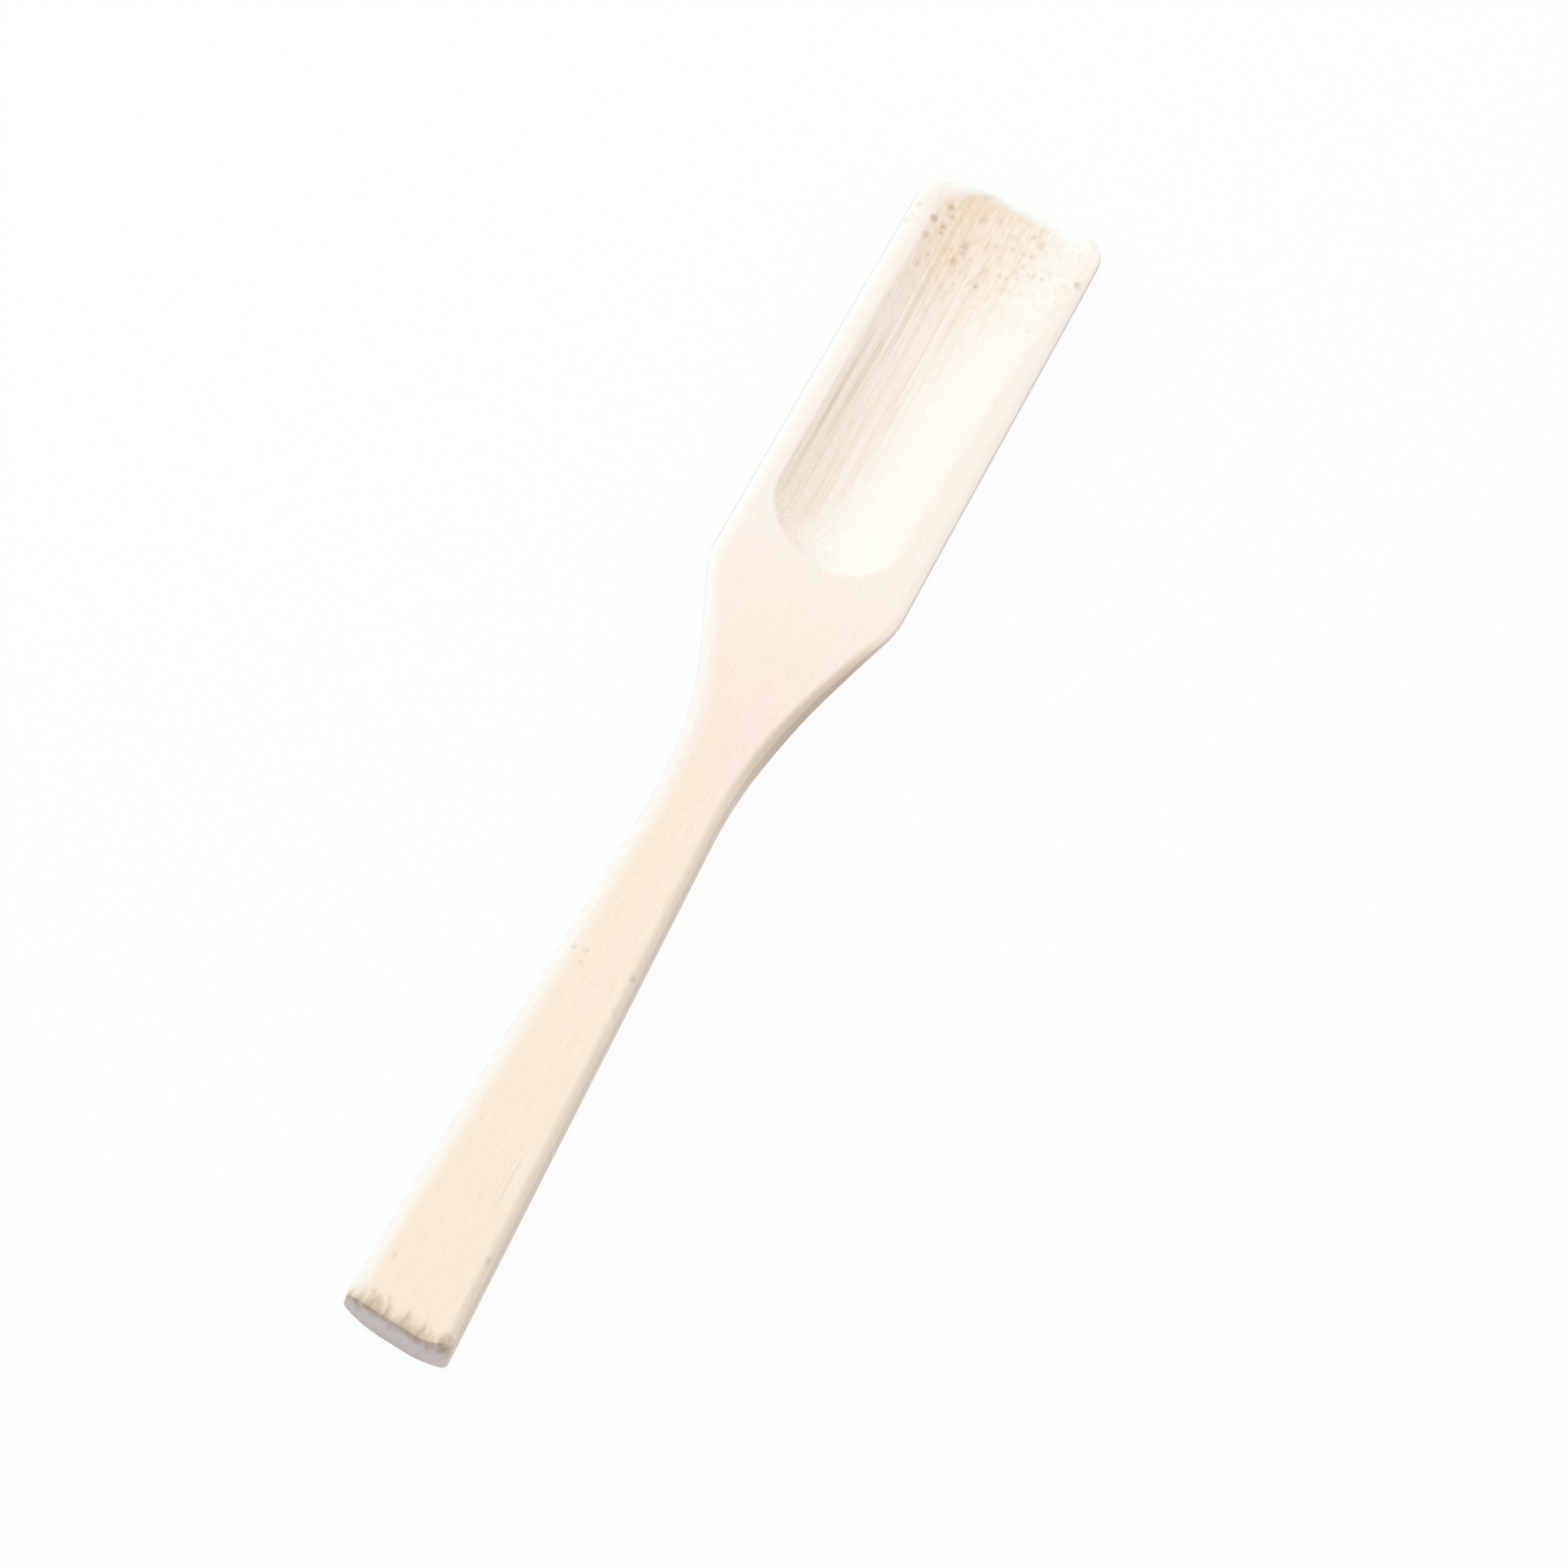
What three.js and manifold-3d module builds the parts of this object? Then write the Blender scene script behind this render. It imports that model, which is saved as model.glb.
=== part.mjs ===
// A bamboo tea scoop, carved from one split of a bamboo culm: a tapering handle, a flared neck and a
// long head whose trough runs out over a thin front lip.
// Millimetres, +Z up, the tip towards +Y, the origin under the middle of the scoop.
import * as THREE from 'three';
import { mergeVertices } from 'three/addons/utils/BufferGeometryUtils.js';
import Module from 'manifold-3d';

// Outline, seen from above
const scoopLength = 180;
const headLength = 66.8;
const flareLength = 23.7;
const handleEndWidth = 13.7;
const neckWidth = 8.3;
const headWidth = 24.8;

// How far before and after a corner of the outline its rounding reaches
const handleEndEase = 0.7;
const neckEase = 13;
const shoulderEase = 2;
const tipEase = 3.4;

// Hand-cut ends: the slant of the handle's end and of the head, and the bow of the front lip
const handleEndSlant = -0.11;
const headSlant = 0.055;
const tipBow = 0.9;

// How far the middle line wanders to the side, as hand-split bamboo does
const neckOffset = 0.2;
const shoulderOffset = -0.35;

// Section: bevelled upper edges, leaning sides, a crowned underside with a sanded flat to rest on
const bevelWidth = 0.9;
const bevelDrop = 0.6;
const sideLean = 0.14;
const handleEdgeThickness = 3.3;
const headEdgeThickness = 1.4;
const restFlatWidth = 3;

// Trough
const troughLength = 62.8;
const troughRearWidth = 17.4;
const troughFrontWidth = 19.5;
const troughRearOffset = -0.85;
const troughFrontOffset = 0.55;
const troughDepth = 3.3;
const floorThickness = 1.7;

// Front lip: the floor and the underside both sweep up to it
const sweepLength = 40;
const lipDepth = 1.2;
const lipThickness = 1.4;

// Facets
const longestStep = 6;
const easeSteps = 6;
const crownSteps = 5;
const troughSteps = 8;
const troughRearSteps = 32;
const cutClearance = 3;

// Sizes that follow from those above
const topHeight = troughDepth + floorThickness;
const lipRise = topHeight - lipDepth - lipThickness;
const tipStation = scoopLength - tipBow;
const shoulderStation = tipStation - headLength;
const neckStation = shoulderStation - flareLength;
const sweepStation = tipStation - sweepLength;
const troughRearRadius = troughRearWidth / 2;
const troughRearStation = tipStation - troughLength + troughRearRadius;

const wasm = await Module();
wasm.setup();

// 0 before the first station, 1 after the last one, and even between them
function ramp(station, first, last) {
  return THREE.MathUtils.clamp((station - first) / (last - first), 0, 1);
}

// How far the floor, the underside and the front lip have swept, from 0 to 1
function sweepAt(station) {
  return ramp(station, sweepStation, tipStation) ** 2;
}

function edgeThicknessAt(station) {
  const share = THREE.MathUtils.smoothstep(station, neckStation, shoulderStation);
  return THREE.MathUtils.lerp(handleEdgeThickness, headEdgeThickness, share);
}

function slantAt(station) {
  return THREE.MathUtils.lerp(handleEndSlant, headSlant, ramp(station, 0, shoulderStation));
}

// Sideways place of the middle line
function middleAt(station) {
  const { smoothstep } = THREE.MathUtils;
  const toNeck = neckOffset * smoothstep(station, 0, neckStation);
  const toShoulder = (shoulderOffset - neckOffset) * smoothstep(station, neckStation, shoulderStation);
  const toTip = -shoulderOffset * smoothstep(station, shoulderStation, tipStation);
  return toNeck + toShoulder + toTip;
}

// The right half of the outline as a path of half widths (x) over stations (y), its corners rounded
function halfOutline() {
  const corners = [
    { at: new THREE.Vector2(handleEndWidth / 2, 0), ease: handleEndEase },
    { at: new THREE.Vector2(neckWidth / 2, neckStation), ease: neckEase },
    { at: new THREE.Vector2(headWidth / 2, shoulderStation), ease: shoulderEase },
    { at: new THREE.Vector2(headWidth / 2, tipStation), ease: tipEase },
  ];
  const path = new THREE.Path();
  corners.forEach(({ at, ease }, index) => {
    const before = corners[index - 1]?.at ?? new THREE.Vector2(0, 0);
    const after = corners[index + 1]?.at ?? new THREE.Vector2(0, tipStation);
    const start = at.clone().add(before.clone().sub(at).setLength(ease));
    const end = at.clone().add(after.clone().sub(at).setLength(ease));
    if (index === 0) {
      path.moveTo(start.x, start.y);
    } else {
      path.lineTo(start.x, start.y);
    }
    path.quadraticCurveTo(at.x, at.y, end.x, end.y);
  });
  return path;
}

// Splits the straight stretches of a list of points so that no step is longer than longestStep
function withShortSteps(points) {
  const result = [points[0]];
  points.slice(1).forEach((point, index) => {
    const previous = points[index];
    const steps = Math.ceil(previous.distanceTo(point) / longestStep);
    for (let step = 1; step <= steps; step += 1) {
      result.push(previous.clone().lerp(point, step / steps));
    }
  });
  return result;
}

// One side of a cross-section, from the rest flat up to the edge of the flat upper face
function sectionSide(halfWidth, station) {
  const edgeThickness = edgeThicknessAt(station);
  const bottom = lipRise * sweepAt(station);
  const crown = topHeight - edgeThickness - bottom;
  const flatHalf = restFlatWidth / 2;
  const points = [];
  for (let step = 0; step <= crownSteps; step += 1) {
    const share = step / crownSteps;
    const x = THREE.MathUtils.lerp(flatHalf, halfWidth, share);
    points.push(new THREE.Vector2(x, bottom + crown * share ** 2));
  }
  const bevelFoot = halfWidth - sideLean * (edgeThickness - bevelDrop);
  points.push(new THREE.Vector2(bevelFoot, topHeight - bevelDrop));
  points.push(new THREE.Vector2(bevelFoot - bevelWidth, topHeight));
  return points;
}

// A whole cross-section as a ring of points, slanted and bowed as the scoop is cut
function blankRing(halfWidth, station) {
  const right = sectionSide(halfWidth, station);
  const left = right.map((point) => new THREE.Vector2(-point.x, point.y)).reverse();
  return [...right, ...left].map((point) => {
    const bow = tipBow * sweepAt(station) * (1 - (2 * point.x / headWidth) ** 2);
    const y = station + slantAt(station) * point.x + bow;
    return new THREE.Vector3(middleAt(station) + point.x, y, point.y);
  });
}

// A closed skin over rings that follow each other towards +Y, with both ends covered
function loft(rings) {
  const size = rings[0].length;
  const triangles = [];
  for (let ring = 0; ring < rings.length - 1; ring += 1) {
    for (let step = 0; step < size; step += 1) {
      const here = ring * size + step;
      const beside = ring * size + (step + 1) % size;
      triangles.push(here, here + size, beside);
      triangles.push(beside, here + size, beside + size);
    }
  }
  const lastRing = (rings.length - 1) * size;
  for (const [a, b, c] of coverTriangles(rings[0])) {
    triangles.push(a, b, c);
  }
  for (const [a, b, c] of coverTriangles(rings[rings.length - 1])) {
    triangles.push(lastRing + c, lastRing + b, lastRing + a);
  }
  const geometry = new THREE.BufferGeometry().setFromPoints(rings.flat());
  geometry.setIndex(triangles);
  return geometry;
}

function coverTriangles(ring) {
  const outline = ring.map((point) => new THREE.Vector2(point.x, point.z));
  return THREE.ShapeUtils.triangulateShape(outline, []);
}

// The scoop before its trough is cut
function blank() {
  const stations = withShortSteps(halfOutline().getPoints(easeSteps));
  return loft(stations.map((point) => blankRing(point.x, point.y)));
}

// Depth of a round-bottomed cut of a given half width, at a distance from its middle line
function arcDepth(distance, halfWidth, depth) {
  const radius = (halfWidth ** 2 + depth ** 2) / (2 * depth);
  return Math.sqrt(radius ** 2 - distance ** 2) - (radius - depth);
}

// The rounded rear of the trough: the same arc turned about an upright axis
function troughRear() {
  const profile = [];
  for (let step = 0; step <= troughSteps; step += 1) {
    const reach = troughRearRadius * step / troughSteps;
    profile.push(new THREE.Vector2(reach, -arcDepth(reach, troughRearRadius, troughDepth)));
  }
  profile.push(new THREE.Vector2(troughRearRadius, cutClearance));
  profile.push(new THREE.Vector2(0, cutClearance));
  const bowl = new THREE.LatheGeometry(profile, troughRearSteps);
  bowl.rotateX(Math.PI / 2);
  bowl.translate(troughRearOffset, troughRearStation, topHeight);
  return bowl;
}

// A cross-section of the trough's cut at a station ahead of its rounded rear
function troughRing(station) {
  const along = (station - troughRearStation) / (tipStation - troughRearStation);
  const halfWidth = THREE.MathUtils.lerp(troughRearWidth, troughFrontWidth, along) / 2;
  const middle = THREE.MathUtils.lerp(troughRearOffset, troughFrontOffset, along);
  const depth = THREE.MathUtils.lerp(troughDepth, lipDepth, sweepAt(station));
  const ring = [];
  for (let step = -troughSteps; step <= troughSteps; step += 1) {
    const x = halfWidth * step / troughSteps;
    const z = topHeight - arcDepth(x, halfWidth, depth);
    ring.push(new THREE.Vector3(middle + x, station, z));
  }
  ring.push(new THREE.Vector3(middle + halfWidth, station, topHeight + cutClearance));
  ring.push(new THREE.Vector3(middle - halfWidth, station, topHeight + cutClearance));
  return ring;
}

// The straight run of the trough, out over the front lip
function troughRun() {
  const first = new THREE.Vector2(0, troughRearStation);
  const sweep = new THREE.Vector2(0, sweepStation);
  const last = new THREE.Vector2(0, tipStation);
  const beyond = new THREE.Vector2(0, scoopLength + cutClearance);
  const stations = withShortSteps([first, sweep, last, beyond]);
  return loft(stations.map((point) => troughRing(point.y)));
}

function toSolid(geometry) {
  const bare = geometry.clone();
  bare.deleteAttribute('normal');
  bare.deleteAttribute('uv');
  const merged = mergeVertices(bare);
  return new wasm.Manifold(new wasm.Mesh({
    numProp: 3,
    vertProperties: new Float32Array(merged.attributes.position.array),
    triVerts: new Uint32Array(merged.index.array),
  }));
}

function toGeometry(solid) {
  const { numProp, vertProperties, triVerts } = solid.getMesh();
  const geometry = new THREE.BufferGeometry();
  geometry.setAttribute('position', new THREE.BufferAttribute(vertProperties, numProp));
  geometry.setIndex(new THREE.BufferAttribute(triVerts, 1));
  geometry.computeVertexNormals();
  return geometry;
}

// Moves a geometry so that the middle of its box, seen from above, is over the origin
function centred(geometry) {
  geometry.computeBoundingBox();
  const middle = geometry.boundingBox.getCenter(new THREE.Vector3());
  return geometry.translate(-middle.x, -middle.y, -geometry.boundingBox.min.z);
}

const bamboo = new THREE.MeshStandardMaterial({ color: 0xfaecdd, roughness: 0.5, metalness: 0 });

function scoopBody() {
  const cut = toSolid(blank()).subtract(toSolid(troughRear())).subtract(toSolid(troughRun()));
  const body = new THREE.Mesh(centred(toGeometry(cut)), bamboo);
  body.name = 'scoop_body';
  return body;
}

const scoop = new THREE.Group();
scoop.add(scoopBody());

export default scoop;
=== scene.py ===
import math

import bpy
import numpy as np
from mathutils import Color, Matrix, Vector


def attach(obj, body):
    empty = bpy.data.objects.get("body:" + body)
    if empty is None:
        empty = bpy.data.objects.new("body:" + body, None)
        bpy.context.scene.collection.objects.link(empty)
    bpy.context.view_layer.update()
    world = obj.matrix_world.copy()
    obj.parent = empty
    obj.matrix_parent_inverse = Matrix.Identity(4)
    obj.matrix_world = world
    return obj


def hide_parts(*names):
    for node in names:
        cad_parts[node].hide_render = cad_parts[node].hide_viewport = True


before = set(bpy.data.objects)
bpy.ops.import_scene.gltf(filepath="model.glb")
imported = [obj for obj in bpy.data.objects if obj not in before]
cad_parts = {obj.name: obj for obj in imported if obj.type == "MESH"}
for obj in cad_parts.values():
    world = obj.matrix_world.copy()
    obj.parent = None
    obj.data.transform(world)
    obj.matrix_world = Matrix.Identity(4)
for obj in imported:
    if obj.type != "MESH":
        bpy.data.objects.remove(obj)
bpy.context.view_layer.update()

MM = 0.001

# Outline, seen from above
SCOOP_LENGTH = 180.0
HEAD_LENGTH = 66.8
FLARE_LENGTH = 23.7
HANDLE_END_WIDTH = 13.7
NECK_WIDTH = 8.3
HEAD_WIDTH = 24.8

# How far before and after a corner of the outline its rounding reaches
LEFT_END_EASE = 0.7
RIGHT_END_EASE = 0.9
NECK_EASE = 13.0
SHOULDER_EASE = 2.0
TIP_EASE = 3.4

# Hand-cut ends: slants, the bow of the front lip, and how far the lip drops back towards either corner
HANDLE_END_SLANT = -0.11
HEAD_SLANT = 0.055
TIP_BOW = 0.9
LEFT_TIP_DROP = 2.3
RIGHT_TIP_DROP = 1.3

# How far the middle line wanders to the side
NECK_OFFSET = 0.2
SHOULDER_OFFSET = -0.35

# From the middle of the handle's end to the origin, under the middle of the scoop
ORIGIN_X = -0.173
ORIGIN_Y = 89.73

# Section: bevelled upper edges, leaning sides, a crowned underside with a flat to rest on
BEVEL_WIDTH = 0.9
HANDLE_BEVEL_DROP = 0.6
HEAD_BEVEL_DROP = 0.25
SIDE_LEAN = 0.14
LEFT_HANDLE_LEAN = 0.05
LEFT_FLARE_LEAN = -0.2
LEFT_HEAD_LEAN = 0.3
HANDLE_EDGE_THICKNESS = 3.3
HEAD_EDGE_THICKNESS = 1.4
REST_FLAT_WIDTH = 3.0
EDGE_ROUND = 0.45
FOOT_ROUND = 0.15

# Trough, with the power that rounds its rear: that of a circle, and those of its hand-cut sides
TROUGH_LENGTH = 62.8
TROUGH_REAR_WIDTH = 17.2
TROUGH_FRONT_WIDTH = 19.5
TROUGH_REAR_OFFSET = -1.0
TROUGH_FRONT_OFFSET = 0.55
TROUGH_DEPTH = 3.3
FLOOR_THICKNESS = 1.7
RIM_SOFTNESS = 0.2
FRONT_RIM_SOFTNESS = 0.7
FRONT_SOFTENING = 9.0
CIRCLE_SQUARENESS = 2.0
LEFT_REAR_SQUARENESS = 1.9
RIGHT_REAR_SQUARENESS = 2.1
REAR_TILT = 0.12

# The left rim bends round the front corner: how far along and how far across
RIM_BEND_LENGTH = 4.9
RIM_BEND_WIDTH = 5.0

# Front lip, and the roundings of both ends
SWEEP_LENGTH = 40.0
LIP_DEPTH = 1.2
LIP_THICKNESS = 1.4
LIP_ROUND = 0.35
END_ROUND = 0.25

# The right upper corner of the handle's end is worn back: how far, how far along, and from which x
CORNER_WEAR = 1.2
CORNER_WEAR_LENGTH = 3.0
CORNER_WEAR_X = 2.5

# Tool marks: depths of the gouge's flutes, of the torn rear and of the plane's waves on the flat
FLUTE_DEPTH = 0.07
TORN_DEPTH = 0.06
WAVE_DEPTH = 0.03

# Mesh steps along the scoop
HANDLE_STEP = 1.2
REAR_STEP = 0.11
RUN_STEP = 0.4
LIP_STEP = 0.15
END_STEP = 0.06

# How far the finer steps reach: from the handle's end, before and after the trough's rear, behind the lip
END_FINE_LENGTH = 1.0
END_RUN_LENGTH = 4.0
BEFORE_REAR_LENGTH = 2.0
AFTER_REAR_LENGTH = 1.0
LIP_FINE_LENGTH = 4.0

# Points round each cross-section
RIM_COLUMNS = 14
TROUGH_COLUMNS = 160
OUTLINE_POINTS = 24
CORNER_POINTS = 6
SIDE_CORNERS = 3
UNDERSIDE_POINTS = 14
UNDERSIDE_START = 0.8
LEAST_RIM = 0.3
SHARP_ANGLE = 40.0

# Sizes that follow from those above
TOP_HEIGHT = TROUGH_DEPTH + FLOOR_THICKNESS
LIP_RISE = TOP_HEIGHT - LIP_DEPTH - LIP_THICKNESS
TIP_STATION = SCOOP_LENGTH - TIP_BOW
SHOULDER_STATION = TIP_STATION - HEAD_LENGTH
NECK_STATION = SHOULDER_STATION - FLARE_LENGTH
SWEEP_STATION = TIP_STATION - SWEEP_LENGTH
REAR_RADIUS = TROUGH_REAR_WIDTH / 2
REAR_STATION = TIP_STATION - TROUGH_LENGTH + REAR_RADIUS
REAR_APEX = REAR_STATION - REAR_RADIUS

# Which points of a cross-section lie on top, down the right side, up the left side and underneath
TOP_POINTS = 2 * RIM_COLUMNS + TROUGH_COLUMNS - 2
CORNERED_POINTS = SIDE_CORNERS * CORNER_POINTS
SIDE_POINTS = CORNERED_POINTS + UNDERSIDE_POINTS
RING_POINTS = TOP_POINTS + 2 * SIDE_POINTS
TOP = slice(0, TOP_POINTS)
RIGHT_SIDE = slice(TOP_POINTS, TOP_POINTS + SIDE_POINTS)
LEFT_SIDE = slice(TOP_POINTS + SIDE_POINTS, RING_POINTS)
UNDERSIDE = slice(TOP_POINTS + CORNERED_POINTS, RING_POINTS - CORNERED_POINTS)

# Noise on the upper face: width and length of its bumps, and its seed
NOISE_CELLS = 64
WANDER_BUMPS = (5.0, 9.0, 11)
FINE_STREAK_BUMPS = (0.28, 18.0, 12)
BREAK_BUMPS = (0.8, 3.5, 13)
TORN_BUMPS = (0.3, 0.4, 14)
WAVE_BUMPS = (3.0, 16.0, 15)
TORN_PATCH_BUMPS = (1.1, 0.9, 16)

# Gouge marks on the left of the trough: x, half width, first y, last y and how dark, or how pale below 0
STREAKS = (
    (-9.20, 0.18, 39.0, 58.0, 0.50),
    (-8.85, 0.16, 42.0, 60.0, -0.65),
    (-8.40, 0.17, 37.0, 63.0, 0.65),
    (-8.08, 0.16, 38.0, 60.0, 0.55),
    (-7.72, 0.18, 40.0, 64.0, -0.75),
    (-7.40, 0.16, 40.0, 66.0, 0.30),
    (-6.98, 0.18, 46.0, 77.0, 0.42),
    (-6.66, 0.15, 50.0, 74.0, 0.28),
    (-6.35, 0.17, 36.0, 47.0, 0.50),
    (-6.25, 0.24, 61.0, 84.0, -1.00),
    (-5.78, 0.16, 58.0, 75.0, 0.32),
    (-5.70, 0.17, 37.0, 48.0, 0.40),
    (-5.45, 0.16, 60.0, 73.0, 0.25),
    (-5.05, 0.20, 52.0, 69.0, -0.85),
    (-2.70, 0.30, 39.0, 51.0, -0.60),
    (-1.75, 0.18, 52.0, 71.0, 0.35),
    (-1.33, 0.28, 57.0, 79.0, -1.00),
    (-0.60, 0.28, 57.0, 79.0, 0.30),
)

# How far the gouge marks wander, how they break up, and how they fade at their ends and their sides
STREAK_WANDER = 0.15
STREAK_LEVEL = 0.75
STREAK_BREAKS = 0.35
FINE_STREAKS = 0.3
STREAK_FADE_OUTSIDE = 4.0
STREAK_FADE_INSIDE = 5.0
STREAK_CORE = 0.2
STREAK_REACH = 1.2

# Strokes of the plane near the right edge of the handle: x, y, and how far they reach across and along
PLANE_STROKES = (3.6, -66.0, 1.3, 6.5)
PLANE_STROKE_CORE = 0.3
PLANE_STROKE_SHARE = 1.5

# Where the trough's colours start, by the depth of the cut
HOLLOW_DEPTHS = (-0.15, 0.35)
SHADE_DEPTHS = (-0.15, 0.3)

# The pale right of the trough, painted paler as lit: where it starts and is full across the trough, at
# three places along it
LIT_Y = (40.0, 63.0, 85.0)
LIT_STARTS = (-0.55, -0.4, -0.15)
LIT_ENDS = (0.35, 0.6, 1.0)

# The shaded left of the trough: the y where it starts on the left and on the right, and how soon it is full
SHADE_START_Y = (26.0, 35.0)
SHADE_START_ACROSS = (-0.9, 0.1)
SHADE_RISE = 8.0

# Tan on the shaded wall: from the rear to the middle, from its rim to its foot, and round the front corner
WALL_TAN = (1.5, 0.6)
WALL_TAN_Y = (44.0, 62.0)
RIM_TAN = 0.8
RIM_TAN_ACROSS = (-0.9, -0.3)
FRONT_TAN = 1.8
FRONT_TAN_ACROSS = (-0.6, -0.2)

# The torn rear of the trough, its pale right part painted paler as lit, and the dotted front
REAR_FADE_Y = (32.0, 39.0)
REAR_PALE_ACROSS = (-0.4, 0.3)
TORN_PATCHES = 0.4
TORN_LEVELS = (-0.6, 1.1)
TORN_FADE_ACROSS = (-0.2, 0.5)
SPECKLED_Y = (64.0, 80.0)

# Painted highlight on the front lip: how far back it reaches at places across, and its fade as shares of
# that
LIP_HIGHLIGHT = 0.95
LIP_HIGHLIGHT_X = (-5.0, -1.0, 5.0, 8.5, 11.0)
LIP_HIGHLIGHT_LENGTHS = (1.5, 1.4, 1.4, 3.2, 2.4)
LIP_HIGHLIGHT_FADE = (1.4, 0.2)
HOLLOW_LIP_HIGHLIGHT_X = (-5.0, -2.0)

# Painted highlight on the left edge: how wide it is at stations along it, and where it starts at the
# handle's end
LEFT_HIGHLIGHT = 0.4
LEFT_HIGHLIGHT_STATIONS = (10.0, 40.0, NECK_STATION, SHOULDER_STATION)
LEFT_HIGHLIGHT_WIDTHS = (0.5, 1.3, 1.3, 0.5)
HIGHLIGHT_START = 2.5

# Colours down the bevels, by points: a painted highlight on the left one and painted grey shade on the
# right one
BEVEL_POINTS = (0, CORNER_POINTS, 2 * CORNER_POINTS - 1, 2 * CORNER_POINTS)
LEFT_BEVEL_HIGHLIGHT = (LEFT_HIGHLIGHT, 1.0, 0.6, 0.0)
RIGHT_BEVEL_GREY = (0.0, 0.35, 0.3, 0.0)

# The right side, darker for fibres cut across the grain and for painted shade, by points, and how far it
# reaches round the neck and the shoulder
SIDE_CUT_POINTS = (0, CORNER_POINTS - 1, 2 * CORNER_POINTS)
SIDE_CUT_SHARES = (0.0, 0.9, 1.0)
SIDE_CUT_BEFORE_NECK = 10.0
SIDE_CUT_AFTER_NECK = 6.0
SIDE_CUT_BEFORE_SHOULDER = 8.0

# Colours, as they look on the finished scoop
CREAM = "#feeedb"
PINK_CREAM = "#feebe3"
HEAD_CREAM = "#fff6ee"
FIBRE = "#f4e1cb"
# paler fresh cut with painted light, for the lit right of the trough and of its rear
FRESH_CUT_AND_PAINTED_LIGHT = "#fbfaf4"
# painted highlight on the left edge and the front lip
EDGE_HIGHLIGHT = "#fefdf8"
GROOVE = "#e5cab1"
STREAK = "#e0c3a8"
RIDGE = "#fff6ec"
TAN = "#fae1c4"
HONEY = "#ebd3a8"
SPOT = "#b08a5c"
# darker right side: fibres cut across the grain, and painted shade
SIDE_CUT_AND_SHADE = "#dfcab6"
BEVEL_GREY = "#ddd2c6"
SKIN = "#f0ddb8"
END_GRAIN = "#ece1e1"
END_DOT = "#d2c3c2"
CHARRED = "#a98d68"
WHITE = "#ffffff"
FULL_BYTE = 255.0

# How much of a colour covers those below it
FIBRE_SHARE = 0.5
HEAD_SHARE = 0.8
HEAD_FIBRE_SHARE = 0.3
LIT_SHARE = 0.9
REAR_SHARE = 0.6
TAN_SHARE = 0.3
HONEY_SHARE = 0.4
LEAST_HONEY = 0.5
SHADED_GRAIN_SHARE = 0.08
GRAIN_SHARE = 0.12
TORN_SHARE = 0.2
SPOT_SHARE = 0.75
SPECKLE_SHARE = 0.3
LEAST_SKIN = 0.4
END_DOT_SHARE = 0.5
CHARRED_SHARE = 0.7

# Noise in the wood: bumps to a millimetre across, along and up, and how detailed it is
TONE_NOISE = ((0.25, 0.03, 0.25), 2.0)
FIBRE_NOISE = ((4.0, 0.22, 4.0), 4.0)
HAIR_NOISE = ((12.0, 0.25, 12.0), 2.0)
MOTTLE_NOISE = ((2.8, 0.9, 1.4), 5.0)
HONEY_NOISE = ((1.1, 0.6, 0.5), 5.0)
GRAIN_NOISE = ((2.6, 0.8, 0.8), 4.0)
FRAY_NOISE = ((1.3, 0.28, 0.5), 4.0)
NOISE_MIDDLE = 0.5

# At which values of its noise a colour starts and is full
PINK_LEVELS = (0.35, 0.65)
FIBRE_LEVELS = (0.45, 0.75)
TAN_LEVELS = (0.15, 0.85)
HONEY_LEVELS = (0.42, 0.75)
GRAIN_LEVELS = (0.42, 0.7)
SKIN_LEVELS = (0.3, 0.7)

# Where else colours start: stations of the pink tone and of the handle's end, and which way a face looks
PINK_STATIONS = (30.0, 100.0)
END_STATIONS = (4.0, 2.0)
END_FACING = (0.5, 0.75)
UPWARD_FACING = (0.0, 0.3)

# Small dark ends of fibre bundles: x, y, radius and how dark
SPOTS = (
    (-3.3, -36.2, 0.36, 0.40),
    (-1.8, -36.0, 0.32, 0.30),
    (-1.7, -37.7, 0.36, 0.35),
    (4.5, -36.5, 0.40, 0.50),
    (4.4, -41.5, 0.45, 0.20),
    (-3.9, -82.0, 0.34, 0.30),
    (5.6, -77.6, 0.42, 0.50),
    (-3.9, -87.2, 0.38, 0.40),
    (-2.0, -87.3, 0.38, 0.35),
    (11.3, 82.1, 0.50, 0.60),
    (10.0, 81.1, 0.45, 0.20),
    (-11.1, 82.9, 0.40, 0.30),
    (-11.2, 81.1, 0.35, 0.30),
    (-11.5, 79.8, 0.45, 0.25),
    (-7.4, 85.0, 0.50, 0.80),
    (-8.6, 82.1, 0.50, 0.85),
    (-6.8, 83.9, 0.40, 0.60),
    (-7.1, 81.8, 0.42, 0.75),
    (-6.9, 80.9, 0.36, 0.65),
    (-8.5, 79.2, 0.45, 0.60),
    (-3.6, 81.2, 0.65, 0.55),
    (-3.4, 80.2, 0.50, 0.50),
    (-3.8, 78.4, 0.50, 0.30),
    (-4.0, 74.0, 0.45, 0.20),
    (-7.7, 74.9, 0.50, 0.25),
    (-3.1, 85.8, 0.70, 0.30),
    (-1.2, 87.1, 0.50, 0.30),
    (-0.2, 83.4, 0.55, 0.25),
    (-0.1, 76.7, 0.34, 0.65),
    (1.7, 85.8, 0.50, 0.25),
    (4.0, 82.3, 0.50, 0.30),
    (5.8, 81.5, 0.40, 0.25),
    (4.8, 86.2, 0.60, 0.40),
)

# Their shape: scale and reach of the noise that shakes them, how much a length along counts, fade in radii
SPOT_SHAKE = (2.5, 0.7)
SPOT_SQUEEZE = 0.75
SPOT_EDGE = 1.5
SPOT_CORE = -0.2

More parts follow.
